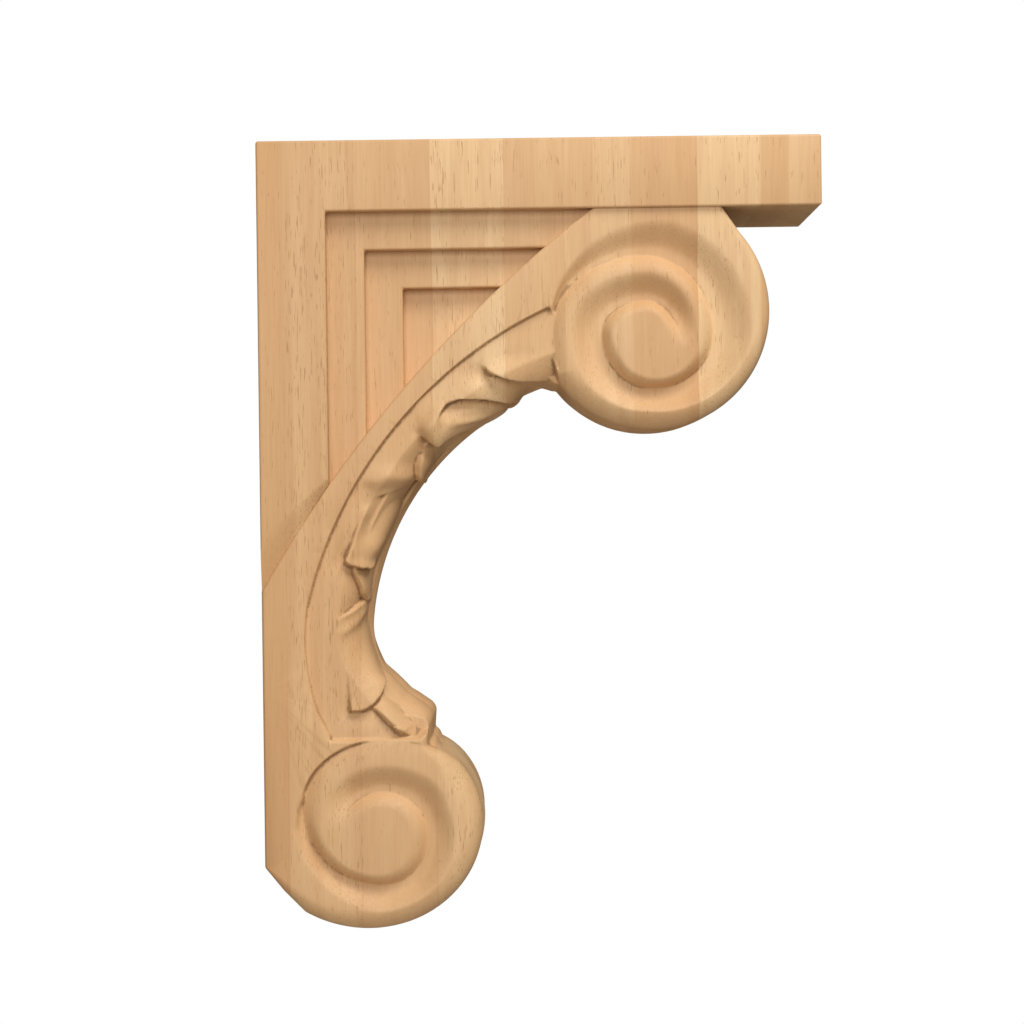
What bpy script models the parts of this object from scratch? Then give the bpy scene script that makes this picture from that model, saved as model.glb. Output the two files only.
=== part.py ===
"""Carved wooden corbel bracket: stepped panel, curved band, two scrolls and a leaf, cut from one block."""
import math

import bmesh
import bpy
from mathutils import Matrix, Vector

# Lengths are in millimetres and angles in degrees. A pair is (distance from the wall, distance below the top).
MM = 0.001
BACK_LENGTH = 281.5
BACK_TOP = BACK_LENGTH / 2         # the top face above the middle of the flat back
BAR_REACH = 219.0
FRAME_HALF = 38.1                  # half thickness of the bar and the stile
BAND_HALF = 36.0                   # half thickness of the band, the leaf and both scrolls
WEB_HALF = 19.05
BAR_DEPTH = 27.4
STILE_WIDTH = 26.6
STILE_RUN = 3.0                    # how far the stile runs past the band's edge before it is cut along it
PANEL_STEP = 14.6
PANEL_LEVEL_COUNT = 2
LEVEL_DROP = (FRAME_HALF - WEB_HALF) / (PANEL_LEVEL_COUNT + 1)
GROUND_DROP = 2.0                  # how far the leaf's ground lies below the band
ARRIS = 0.8
LAP = 5.0                          # how far one board runs on inside its neighbour
CLEAR = 5.0                        # how far a cutter stands outside the face it cuts

BAND_CENTRE = (425.6, 419.7)
BAND_RADIUS = 491.2
UPPER_CENTRE = (152.9, 67.6)
UPPER_RADIUS = 45.9
UPPER_SHOULDER_ANGLE = 41.0        # from here up the scroll's front runs straight into the bar
SHOULDER_REACH = 177.0
UPPER_NOTCH_ANGLE = 217.0
LOWER_FROM_TIP = (-15.4, 30.2)      # the lower scroll's centre, from the leaf's tip
LOWER_RADIUS = 35.05
LOWER_GROWTH = 0.15                # radius gained for each degree going down
LOWER_START_ANGLE = 57.0
LOWER_END_ANGLE = -122.0
FOOT_CORNER = (7.0, 9.4)           # out from the wall and below the back's end
RIM_ROUND = 8.5
SHOULDER_ROUND = 2.0
SHOULDER_STEPS = 12                 # outline points over which the shoulder's rounding grows to the rim's
TIP_ROUND = 4.0
TIP_STEPS = 4
FRONT_RADIUS = 105.3               # of the hollow curve of the leaf's front, which starts in the upper notch
FRONT_ANGLES = (107.0, 175.0)
NOTCH = (UPPER_CENTRE[0] + UPPER_RADIUS * math.cos(math.radians(UPPER_NOTCH_ANGLE)),
         UPPER_CENTRE[1] - UPPER_RADIUS * math.sin(math.radians(UPPER_NOTCH_ANGLE)))
FRONT_CENTRE = (NOTCH[0] - FRONT_RADIUS * math.cos(math.radians(FRONT_ANGLES[0])),
                NOTCH[1] + FRONT_RADIUS * math.sin(math.radians(FRONT_ANGLES[0])))
WAIST_RADIUS = 26.0
WAIST_TURN = 46.0
LEAF_RUN = 22.0
TIP_RADIUS = 6.0
TIP_TURN = -41.0
LEAF_ROUND_IN = 20.0
LEAF_ROUND_ACROSS = 26.0
LEAF_TOP_STEPS = 4                  # outline points over which the leaf's rounding grows below the upper scroll
LEAF_TIP_STEPS = 9                  # and over which it dies away at the leaf's tip
GROOVE_FROM_FRONT = ((34.9, 23.6), (-37.1, -2.3))     # centres of the groove's upper and lower arcs
GROOVE_RADII = (169.0, 93.4)
GROOVE_UPPER_ANGLES = (114.0, 166.5)
GROOVE_LOWER_ANGLES = (170.0, 202.6)
GROUND_TO_UPPER = 38.4             # how far the ground's top end and bottom end lie from the scrolls' centres
GROUND_TO_LOWER = 24.8

# Outermost points of each quarter turn of the spiral lines, from the eye outward and from the scroll's centre.
UPPER_TURNS = ((11.0, 14.7), (-2.2, -4.3), (-19.4, 8.4), (0.4, 29.7), (23.6, 7.4),
               (-3.4, -22.0), (-36.9, -1.6))
LOWER_TURNS = ((-19.3, 9.5), (-2.9, -4.1), (13.9, 12.2), (-3.4, 31.7), (-34.2, 0.8),
               (-1.9, -24.7), (31.4, -3.3))
UPPER_DEPTHS = (4.5, 5.5)          # at the eye and at the rim
LOWER_DEPTHS = (4.0, 4.5)
RIM_KEEP = 5.0                     # plain rim left between a channel and the outline
UPPER_REACH = 14.0
LOWER_REACH = 10.0
LAP_REACH = 19.0
LAP_SHARE = 0.86                   # share of the room between two turns that is hollowed
CHANNEL_WIDTH = 2.0                # the least width of a channel
CHANNEL_PROFILE = ((0.0, 1.0), (0.3, 0.86), (0.62, 0.45), (1.0, 0.0))   # across the channel: (place, depth)
CHANNEL_SKIN = 0.05                # keeps the cutter's outer edge just off the face
MOUTH_STEPS = 5                    # steps over which a channel deepens at the eye
END_STEPS = 8
QUARTER_STEPS = 6

FLUTE_HALF = 13.0
FLUTE_MIDDLE = 15.5
FLUTE_DEPTH = 3.6
FLUTE_FADE_STEPS = 3                     # steps over which a flute runs out at its ends
FLUTE_SIDE_COUNT = 3                    # faces on each side of a flute's middle
UPPER_FLUTE_ANGLES = (38.0, -135.0)
LOWER_FLUTE_ANGLES = (49.0, -118.0)
EASE_DEPTH = 4.6
EASE_WIDTH = 17.0
EASE_END_WIDTH = 2.0
EASE_END_SHARE = 0.45              # share of the depth left at the stile's inner edge
EASE_PROFILE = ((-0.6, 1.0), (0.0, 1.0), (0.35, 0.62), (0.7, 0.2), (1.0, 0.0))
MIDRIB_RADIUS = 5.0
MIDRIB_SUNK_SHARE = 0.6                  # share of its radius that the midrib's middle lies below the front
MIDRIB_RISE = 1.8
MIDRIB_SIDE_COUNT = 8
MIDRIB_END_STEPS = 4                     # points of the front that it stops short of the leaf's tip

# Each lobe: start and end as (along the leaf, round it), sideways bend, half widths at root, middle and tip,
# rise at the tip, hollow and bluntness.
LEDGE = ((2.0, 57.0), (11.5, 36.5), 0.0, (11.0, 14.0, 14.5), 2.8, 0.6, 0.12)
CUP = ((10.0, 9.0), (49.0, 40.5), 3.0, (4.0, 10.5, 11.5), 3.4, 3.0, 0.14)
LEAFLET = ((51.0, 20.0), (68.0, 25.5), 1.0, (3.5, 5.0, 4.5), 3.4, 0.4, 0.5)
SHORT_LOBE = ((56.0, 15.0), (77.0, 40.5), -1.0, (3.5, 5.5, 5.0), 2.8, 1.4, 0.4)
FINGER = ((63.0, 14.0), (105.0, 35.0), 5.0, (4.0, 6.5, 7.5), 4.2, 2.6, 0.12)
UNDER_LOBE = ((98.0, 12.0), (123.0, 36.0), 1.0, (4.0, 6.0, 5.0), 2.4, 1.0, 0.5)
TONGUE = ((112.0, 14.0), (151.0, 40.0), 2.0, (5.0, 8.5, 8.0), 3.6, 2.0, 0.4)
SPUR = ((138.0, 11.0), (171.0, 31.0), 2.0, (4.0, 5.5, 3.0), 4.2, 1.6, 0.7)
LOBES = (LEDGE, CUP, LEAFLET, SHORT_LOBE, FINGER, UNDER_LOBE, TONGUE, SPUR)
LOBE_ROOT = 3.0                    # how far each lobe's underside is buried
LOBE_SINK = 1.2                    # how far each lobe's root starts below the ground
LOBE_CREST = 0.4                   # how far the middle of a lobe stands above its sides
LOBE_EDGE_SHARE = 0.3                    # share of the rise that the sides fall off by
LOBE_ROUND_SHARE = 0.2               # a lobe blunter than this has a round end, any other a square one
LOBE_SQUARE_SHARE = 0.25             # share of its width that a square end draws in
LOBE_LEAST_SHARE = 0.02                  # keeps a round end from closing to a point
LOBE_PACE_POWER = 0.85                   # below one, rows stand closer near the tip
LOBE_CURL_POWER = 1.4                    # above one, a lobe lifts late
HOLLOW_SHARES = (0.85, 0.1)           # stretch and start of the hollow along a lobe
LOBE_ROW_COUNT = 9
LOBE_COLUMN_COUNT = 4
MIDDLE_GAP = 0.6                   # how close a lobe's edge may come to the middle line

SCROLL_STEPS = 30
FRONT_STEPS = (20, 5, 4, 2)        # front arc, waist, straight run, tip
BAND_STEPS = 16
BOARD_STEPS = 8
WEB_STEPS = 10
FLUTE_STEPS = 25
GROOVE_STEPS = (14, 6)
GROUND_STEPS = 4
ROUND_ROW_COUNT = 4
SECTION_STEPS = 16
SECTION_RUN = 60.0


def at(across, drop, side=0.0):
    """A point given from the wall, from the top and from the middle plane, all in millimetres."""
    return Vector((across * MM, side * MM, (BACK_TOP - drop) * MM))


def arc(centre, radius, start, end, steps, growth=0.0):
    """Points of an arc or slow spiral in degrees, seen with the wall on the left."""
    points = []
    for index in range(steps + 1):
        angle = start + (end - start) * index / steps
        reach = radius - growth * angle
        turn = math.radians(angle)
        points.append((centre[0] + reach * math.cos(turn), centre[1] - reach * math.sin(turn)))
    return points


def walk(start, heading, moves):
    """Points of a path made of equal-curvature pieces, each (turn, length, steps)."""
    points, (across, drop) = [start], start
    for turn, length, steps in moves:
        for _ in range(steps):
            heading += turn / steps / 2
            across += length / steps * math.cos(math.radians(heading))
            drop -= length / steps * math.sin(math.radians(heading))
            heading += turn / steps / 2
            points.append((across, drop))
    return points


def front_path():
    """The leaf's middle line from the upper scroll's notch down to the leaf's tip."""
    first, last = FRONT_ANGLES
    front, waist, run, tip = FRONT_STEPS
    moves = ((last - first, FRONT_RADIUS * math.radians(last - first), front),
             (WAIST_TURN, WAIST_RADIUS * math.radians(WAIST_TURN), waist),
             (0.0, LEAF_RUN, run),
             (TIP_TURN, TIP_RADIUS * math.radians(WAIST_TURN), tip))
    return walk(NOTCH, first + 90.0, moves)


def moved(centre, offset):
    """A point at an offset from another one."""
    return (centre[0] + offset[0], centre[1] + offset[1])


def lower_centre():
    """The middle of the lower scroll, which hangs below the leaf's tip."""
    return moved(front_path()[-1], LOWER_FROM_TIP)


def band_drop(across):
    """How far below the top the band's upper edge lies at a distance from the wall."""
    return BAND_CENTRE[1] - math.sqrt(BAND_RADIUS ** 2 - (BAND_CENTRE[0] - across) ** 2)


def band_reach(drop):
    """How far from the wall the band's upper edge lies at a distance below the top."""
    return BAND_CENTRE[0] - math.sqrt(BAND_RADIUS ** 2 - (BAND_CENTRE[1] - drop) ** 2)


def band_arc(steps, inward=0.0, first=0.0, last=None):
    """The band's upper edge between two distances from the wall, by default up into the bar."""
    last = band_reach(BAR_DEPTH - LAP) if last is None else last
    angles = [180.0 - math.degrees(math.acos((BAND_CENTRE[0] - across) / BAND_RADIUS)) for across in (first, last)]
    return arc(BAND_CENTRE, BAND_RADIUS - inward, *angles, steps)


def inward_normals(points):
    """Unit vectors square to a closed outline, pointing into it."""
    area = sum(p[0] * q[1] - q[0] * p[1] for p, q in zip(points, points[1:] + points[:1]))
    turn = 1.0 if area > 0 else -1.0
    normals = []
    for index, _ in enumerate(points):
        before, after = points[index - 1], points[(index + 1) % len(points)]
        along = Vector((after[0] - before[0], after[1] - before[1])).normalized()
        normals.append((-along.y * turn, along.x * turn))
    return normals


def leaf_inward(spot, direction):
    """The unit vector square to the front line that points into the wood."""
    inward = Vector((direction.y, -direction.x))
    return -inward if inward.dot(Vector(FRONT_CENTRE) - spot) > 0 else inward


def new_object(name, mesh):
    """A new object in the scene."""
    piece = bpy.data.objects.new(name, mesh)
    bpy.context.scene.collection.objects.link(piece)
    return piece


def rings_object(name, rings):
    """A closed body lofted through rings of equal length, capped at both ends."""
    mesh = bmesh.new()
    rows = [[mesh.verts.new(point) for point in ring] for ring in rings]
    count = len(rows[0])
    for lower, upper in zip(rows, rows[1:]):
        for index in range(count):
            following = (index + 1) % count
            mesh.faces.new((lower[index], lower[following], upper[following], upper[index]))
    mesh.faces.new(rows[0][::-1])
    mesh.faces.new(rows[-1])
    bmesh.ops.recalc_face_normals(mesh, faces=mesh.faces)
    data = bpy.data.meshes.new(name)
    mesh.to_mesh(data)
    mesh.free()
    return new_object(name, data)


def slab(name, points, low, high):
    """A flat board of the given outline, between two distances from the middle plane."""
    curve = bpy.data.curves.new(name, "CURVE")
    curve.dimensions = "2D"
    curve.fill_mode = "BOTH"
    curve.extrude = (high - low) / 2 * MM
    line = curve.splines.new("POLY")
    line.points.add(len(points) - 1)
    for spot, (across, drop) in zip(line.points, points):
        spot.co = (across * MM, -drop * MM, 0.0, 1.0)
    line.use_cyclic_u = True
    source = new_object(name, curve)
    bpy.context.view_layer.update()
    data = bpy.data.meshes.new_from_object(source)
    bpy.data.objects.remove(source)
    mesh = bmesh.new()
    mesh.from_mesh(data)
    bmesh.ops.remove_doubles(mesh, verts=mesh.verts, dist=1e-6)
    stand = Matrix.Translation((0.0, (high + low) / 2 * MM, BACK_TOP * MM)) @ Matrix.Rotation(math.pi / 2, 4, "X")
    mesh.transform(stand)
    bmesh.ops.recalc_face_normals(mesh, faces=mesh.faces)
    mesh.to_mesh(data)
    mesh.free()
    return new_object(name, data)


def rounded_slab(name, outline):
    """A board whose edge is rounded by a different amount at each outline point (in, across)."""
    points = [point for point, _ in outline]
    normals = inward_normals(points)
    slopes = [math.pi / 2 * (1 - row / ROUND_ROW_COUNT) for row in range(ROUND_ROW_COUNT + 1)]
    rings = []
    for side, order in ((-1, slopes), (1, slopes[::-1])):
        for slope in order:
            ring = []
            for (point, (inset, across)), normal in zip(outline, normals):
                shift = inset * (1 - math.cos(slope))
                level = BAND_HALF - across * (1 - math.sin(slope))
                ring.append(at(point[0] + normal[0] * shift, point[1] + normal[1] * shift, side * level))
            rings.append(ring)
    return rings_object(name, rings)


def combine(body, tool, operation):
    """Unites a tool with the body or cuts it away, then removes the tool."""
    step = body.modifiers.new("combine", "BOOLEAN")
    step.operation = operation
    step.solver = "MANIFOLD"       # the exact solver leaves open edges where a lobe grazes the leaf
    step.object = tool
    bpy.context.view_layer.update()
    data = bpy.data.meshes.new_from_object(body.evaluated_get(bpy.context.evaluated_depsgraph_get()))
    body.modifiers.clear()
    body.data = data
    bpy.data.objects.remove(tool)


def blend(first, last, share):
    """A pair of roundings between two others."""
    return tuple(a + (b - a) * share for a, b in zip(first, last))


def bracket_outline():
    """The outline of band, leaf and scrolls, each point with its edge rounding (in, across)."""
    sharp, rim, tip = (ARRIS, ARRIS), (RIM_ROUND, RIM_ROUND), (TIP_ROUND, TIP_ROUND)
    shoulder, leaf = (SHOULDER_ROUND, SHOULDER_ROUND), (LEAF_ROUND_IN, LEAF_ROUND_ACROSS)
    outline = [((SHOULDER_REACH, BAR_DEPTH - LAP), sharp)]
    scroll = arc(UPPER_CENTRE, UPPER_RADIUS, UPPER_SHOULDER_ANGLE, UPPER_NOTCH_ANGLE - 360.0, SCROLL_STEPS)
    for index, point in enumerate(scroll):
        outline.append((point, blend(shoulder, rim, min(1.0, index / SHOULDER_STEPS))))
    path = front_path()
    for index, point in enumerate(path[1:], 1):
        left = len(path) - 1 - index
        share = min(1.0, index / LEAF_TOP_STEPS, left / LEAF_TIP_STEPS)
        outline.append((point, blend(tip if index > LEAF_TIP_STEPS else rim, leaf, share)))
    lower = arc(lower_centre(), LOWER_RADIUS, LOWER_START_ANGLE, LOWER_END_ANGLE, SCROLL_STEPS, LOWER_GROWTH)
    for index, point in enumerate(lower):
        outline.append((point, tip if index < 2 or index > len(lower) - TIP_STEPS else rim))
    outline.append(((FOOT_CORNER[0], BACK_LENGTH + FOOT_CORNER[1]), tip))
    outline.append(((0.0, BACK_LENGTH), sharp))
    outline += [(point, sharp) for point in band_arc(BAND_STEPS)]
    return outline


def quarter_spiral(turns):
    """Points of a line of quarter ellipses that touches each given outermost point."""
    points = []
    for index, (first, last) in enumerate(zip(turns, turns[1:])):
        for step in range(QUARTER_STEPS + (index == len(turns) - 2)):
            turn = math.pi / 2 * step / QUARTER_STEPS
            lead, lag = math.sin(turn), 1 - math.cos(turn)
            shares = (lag, lead) if index % 2 == 0 else (lead, lag)
            points.append(tuple(a + (b - a) * share for a, b, share in zip(first, last, shares)))
    return points


def channel(turns, centre, radius, growth, reach_limit, depths, side):
    """The hollow beside a spiral line: a wall along the line and a floor that rises outward."""
    line = quarter_spiral(turns)
    lap = 4 * QUARTER_STEPS
    eye = Vector(((turns[0][0] + turns[2][0]) / 2, (turns[1][1] + turns[3][1]) / 2))
    rings = []
    for index, point in enumerate(line):
        before, after = line[max(index - 1, 0)], line[min(index + 1, len(line) - 1)]
        along = Vector((after[0] - before[0], after[1] - before[1])).normalized()
        out = Vector((-along.y, along.x))
        if out.dot(Vector(point) - eye) < 0:
            out = -out
        reach = Vector(point) - Vector(centre)
        angle = math.degrees(math.atan2(-reach.y, reach.x))
        angle -= 360.0 if angle > LOWER_START_ANGLE else 0.0
        room, limit = radius - growth * angle - reach.length - RIM_KEEP, reach_limit
        if index + lap < len(line):
            limit = LAP_REACH
            neighbours = line[index + lap // 2:index + lap + lap // 2]
            room = min(room, min((Vector(other) - Vector(point)).length for other in neighbours) * LAP_SHARE)
        width = max(CHANNEL_WIDTH, min(limit, room))
        left = len(line) - 1 - index
        fade = min(1.0, (index + 0.5) / MOUTH_STEPS, (left + 0.5) / END_STEPS)
        deep = (depths[0] + (depths[1] - depths[0]) * index / (len(line) - 1)) * fade
        ring = []
        for place, share in CHANNEL_PROFILE:
            spot = Vector(point) + out * width * place
            level = BAND_HALF - deep * share + (CHANNEL_SKIN if share == 0.0 else 0.0)
            ring.append(at(spot.x, spot.y, side * level))
        for place in (1.0, 0.0):
            spot = Vector(point) + out * width * place
            ring.append(at(spot.x, spot.y, side * (BAND_HALF + CLEAR)))
        rings.append(ring)
    return rings_object("channel", rings)


def leaf_section():
    """Half of the leaf's cross-section: (inward, sideways) points from the middle line to the ground."""
    points = [(0.0, 0.0)]
    for step in range(SECTION_STEPS + 1):
        turn = math.pi / 2 * step / SECTION_STEPS
        level = BAND_HALF - LEAF_ROUND_ACROSS * (1 - math.sin(turn))
        points.append((LEAF_ROUND_IN * (1 - math.cos(turn)), min(level, BAND_HALF - GROUND_DROP)))
    points.append((SECTION_RUN, BAND_HALF - GROUND_DROP))
    return points


def along_line(points, distance):
    """Position and direction at a distance along a line of points."""
    steps = [Vector(last) - Vector(first) for first, last in zip(points, points[1:])]
    for index, step in enumerate(steps):
        if distance <= step.length or index == len(steps) - 1:
            share = min(1.0, distance / step.length)
            before = (steps[max(index - 1, 0)].normalized() + step.normalized()).normalized()
            after = (steps[min(index + 1, len(steps) - 1)].normalized() + step.normalized()).normalized()
            direction = (before * (1 - share) + after * share).normalized()
            return Vector(points[index]) + step.normalized() * distance, direction
        distance -= step.length


def leaf_point(path, section, along, around, height, side):
    """A point above the leaf's ground: distance along its front, distance round its section."""
    spot, direction = along_line(path, along)
    place, slope = along_line(section, around)
    place = place + Vector((-slope.y, slope.x)) * height
    spot = spot + leaf_inward(spot, direction) * place.x
    return at(spot.x, spot.y, side * place.y)


def lobe_width(widths, blunt, share):
    """Half the width of a lobe at a share of its length."""
    root, middle, tip = widths
    width = root + (middle - root) * min(1.0, share * 2) + (tip - middle) * max(0.0, share * 2 - 1)
    near_tip = max(0.0, (share - 1 + blunt) / blunt)
    if blunt > LOBE_ROUND_SHARE:
        return width * math.sqrt(max(LOBE_LEAST_SHARE, 1 - near_tip ** 2))
    return width * (1 - LOBE_SQUARE_SHARE * near_tip)


def lobe(shape, side, path, section):
    """A leaf lobe lying on the leaf's ground, low at its root and standing clear at its tip."""
    root, tip, bend, widths, rise, hollow, blunt = shape
    root, tip = Vector(root), Vector(tip)
    course = (tip - root).normalized()
    across = Vector((-course.y, course.x))
    knee = (root + tip) / 2 + across * bend * 2
    stretch, begin = HOLLOW_SHARES
    rings = []
    for row in range(LOBE_ROW_COUNT + 1):
        share = (row / LOBE_ROW_COUNT) ** LOBE_PACE_POWER
        spine = root * (1 - share) ** 2 + knee * 2 * share * (1 - share) + tip * share ** 2
        width = lobe_width(widths, blunt, share)
        dip = hollow * math.sin(math.pi * min(1.0, share * stretch + begin))
        top, under = [], []
        for column in range(-LOBE_COLUMN_COUNT, LOBE_COLUMN_COUNT + 1):
            lean = column / LOBE_COLUMN_COUNT
            spot = spine + across * width * lean
            around = max(MIDDLE_GAP, spot.y)
            height = (rise * share ** LOBE_CURL_POWER - dip * (1 - lean ** 2)) * (1 - LOBE_EDGE_SHARE * lean ** 4)
            height += LOBE_CREST * (1 - lean ** 2) - LOBE_SINK * (1 - share)
            top.append(leaf_point(path, section, spot.x, around, height, side))
            under.append(leaf_point(path, section, spot.x, around, -LOBE_ROOT, side))
        rings.append(top + under[::-1])
    return rings_object("lobe", rings)


def flute(path, centre, side):
    """A shallow round hollow cut along the front of a scroll."""
    rings = []
    for index, point in enumerate(path):
        inward = (Vector(centre) - Vector(point)).normalized()
        left = len(path) - 1 - index
        fade = min(1.0, (index + 0.5) / FLUTE_FADE_STEPS, (left + 0.5) / FLUTE_FADE_STEPS)
        ring = []
        for step in range(-FLUTE_SIDE_COUNT, FLUTE_SIDE_COUNT + 1):
            lean = step / FLUTE_SIDE_COUNT
            spot = Vector(point) + inward * (FLUTE_DEPTH * fade * (1 - lean ** 2) - CHANNEL_SKIN)
            ring.append(at(spot.x, spot.y, side * (FLUTE_MIDDLE + FLUTE_HALF * lean)))
        for lean in (1, -1):
            spot = Vector(point) - inward * CLEAR
            ring.append(at(spot.x, spot.y, side * (FLUTE_MIDDLE + FLUTE_HALF * lean)))
        rings.append(ring)
    return rings_object("flute", rings)


def midrib(path):
    """The rounded rib down the middle of the leaf."""
    rings = []
    last = len(path) - MIDRIB_END_STEPS
    for index in range(1, last + 1):
        spot = (Vector(path[index]) + Vector(path[index + 1])) / 2
        inward = leaf_inward(spot, (Vector(path[index + 1]) - Vector(path[index])).normalized())
        rise = MIDRIB_RISE * min(1.0, index / MIDRIB_END_STEPS, (last + 1 - index) / MIDRIB_END_STEPS)
        ring = []
        for step in range(MIDRIB_SIDE_COUNT):
            turn = math.tau * step / MIDRIB_SIDE_COUNT
            sunk = MIDRIB_RADIUS * MIDRIB_SUNK_SHARE * (1 - math.cos(turn)) - rise
            ring.append(at(*(spot + inward * sunk), MIDRIB_RADIUS * math.sin(turn)))
        rings.append(ring)
    return rings_object("midrib", rings)


def frame_piece(name, arm, drop, reach, foot, half):
    """One L-shaped level of the stepped panel."""
    points = [(0.0, 0.0), (reach, 0.0), (reach, drop), (arm, drop), (arm, foot), (0.0, foot)]
    return slab(name, points, -half, half)


def easing(side):
    """The soft hollow that takes the stile down to the band where the band crosses it."""
    line = band_arc(BOARD_STEPS, first=-LAP, last=STILE_WIDTH)
    rings = []
    for index, (across, drop) in enumerate(line):
        share = 1 - index / (len(line) - 1)
        outward = Vector((across - BAND_CENTRE[0], drop - BAND_CENTRE[1])).normalized()
        width = EASE_END_WIDTH + (EASE_WIDTH - EASE_END_WIDTH) * share
        depth = EASE_DEPTH * (EASE_END_SHARE + (1 - EASE_END_SHARE) * share)
        ring = []
        for place, deep in EASE_PROFILE:
            spot = Vector((across, drop)) + outward * width * place
            ring.append(at(spot.x, spot.y, side * (FRAME_HALF - depth * deep)))
        for place, _ in (EASE_PROFILE[-1], EASE_PROFILE[0]):
            spot = Vector((across, drop)) + outward * width * place
            ring.append(at(spot.x, spot.y, side * (FRAME_HALF + CLEAR)))
        rings.append(ring)
    return rings_object("easing", rings)


def ground_outline(path):
    """The sunken ground round the leaf: band groove, lower scroll, the open front and the upper scroll."""
    upper, lower = (moved(FRONT_CENTRE, offset) for offset in GROOVE_FROM_FRONT)
    line = arc(upper, GROOVE_RADII[0], *GROOVE_UPPER_ANGLES, GROOVE_STEPS[0])
    line += arc(lower, GROOVE_RADII[1], *GROOVE_LOWER_ANGLES, GROOVE_STEPS[1])[1:]
    line += [(path[-1][0] + CLEAR, lower_centre()[1] - GROUND_TO_LOWER), FRONT_CENTRE]
    return line + arc(UPPER_CENTRE, GROUND_TO_UPPER, UPPER_NOTCH_ANGLE, 180.0, GROUND_STEPS)


def frame_body():
    """Bar, stile, panel levels and web."""
    foot = band_drop(0.0) + STILE_RUN
    body = frame_piece("corbel", STILE_WIDTH, BAR_DEPTH, BAR_REACH, foot, FRAME_HALF)
    for side in (-1, 1):
        combine(body, easing(side), "DIFFERENCE")
    below = band_arc(BOARD_STEPS, first=-LAP, last=STILE_WIDTH + LAP)
    below += [(STILE_WIDTH + LAP, foot + 4 * LAP), (-LAP, foot + 4 * LAP)]
    combine(body, slab("stile end", below, -2 * FRAME_HALF, 2 * FRAME_HALF), "DIFFERENCE")
    for level in range(PANEL_LEVEL_COUNT):
        arm, drop = STILE_WIDTH + PANEL_STEP * level, BAR_DEPTH + PANEL_STEP * level
        half = FRAME_HALF - LEVEL_DROP * (level + 1)
        reach, end = band_reach(drop) + LAP, band_drop(arm) + LAP
        combine(body, frame_piece("level", arm + PANEL_STEP, drop + PANEL_STEP, reach, end, half), "UNION")
    edge = band_arc(WEB_STEPS, inward=2 * LAP)
    web = [(LAP, LAP), (edge[-1][0], LAP)] + edge[::-1] + [(LAP, edge[0][1])]
    combine(body, slab("web", web, -WEB_HALF, WEB_HALF), "UNION")
    return body


def carve(body, side):
    """Cuts the leaf's ground, both spiral channels and both scrolls' flutes on one side."""
    near, far = BAND_HALF - GROUND_DROP, BAND_HALF + CLEAR
    ground = ground_outline(front_path())
    combine(body, slab("ground", ground, *((near, far) if side > 0 else (-far, -near))), "DIFFERENCE")
    upper = (UPPER_CENTRE, UPPER_RADIUS, 0.0)
    lower = (lower_centre(), LOWER_RADIUS, LOWER_GROWTH)
    for turns, scroll, reach, depths in ((UPPER_TURNS, upper, UPPER_REACH, UPPER_DEPTHS),
                                         (LOWER_TURNS, lower, LOWER_REACH, LOWER_DEPTHS)):
        line = [moved(scroll[0], turn) for turn in turns]
        combine(body, channel(line, *scroll, reach, depths, side), "DIFFERENCE")
    upper_front = arc(UPPER_CENTRE, UPPER_RADIUS, *UPPER_FLUTE_ANGLES, FLUTE_STEPS)
    lower_front = arc(lower[0], LOWER_RADIUS, *LOWER_FLUTE_ANGLES, FLUTE_STEPS, LOWER_GROWTH)
    combine(body, flute(upper_front, UPPER_CENTRE, side), "DIFFERENCE")
    combine(body, flute(lower_front, lower[0], side), "DIFFERENCE")


def build():
    """The whole bracket as one closed body."""
    path, section = front_path(), leaf_section()
    body = frame_body()
    combine(body, rounded_slab("bracket", bracket_outline()), "UNION")
    for side in (-1, 1):
        carve(body, side)
    combine(body, midrib(path), "UNION")
    for shape in LOBES:
        for side in (-1, 1):
            combine(body, lobe(shape, side, path, section), "UNION")
    return body


for old in list(bpy.data.objects):
    bpy.data.objects.remove(old)
corbel = build()
wood = bpy.data.materials.new("pale hardwood")
wood.use_nodes = True
shader = wood.node_tree.nodes["Principled BSDF"]
shader.inputs["Base Color"].default_value = (0.70, 0.44, 0.24, 1.0)
shader.inputs["Roughness"].default_value = 0.6
corbel.data.materials.clear()
corbel.data.materials.append(wood)
collection = bpy.data.collections.new("corbel bracket")
bpy.context.scene.collection.children.link(collection)
collection.objects.link(corbel)
bpy.context.scene.collection.objects.unlink(corbel)
print("triangles", sum(len(face.vertices) - 2 for face in corbel.data.polygons))
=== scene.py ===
# Carved corbel bracket in pale glued hardwood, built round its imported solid
import math

import bmesh
import bpy
import numpy as np
from mathutils import Matrix, Vector


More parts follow.
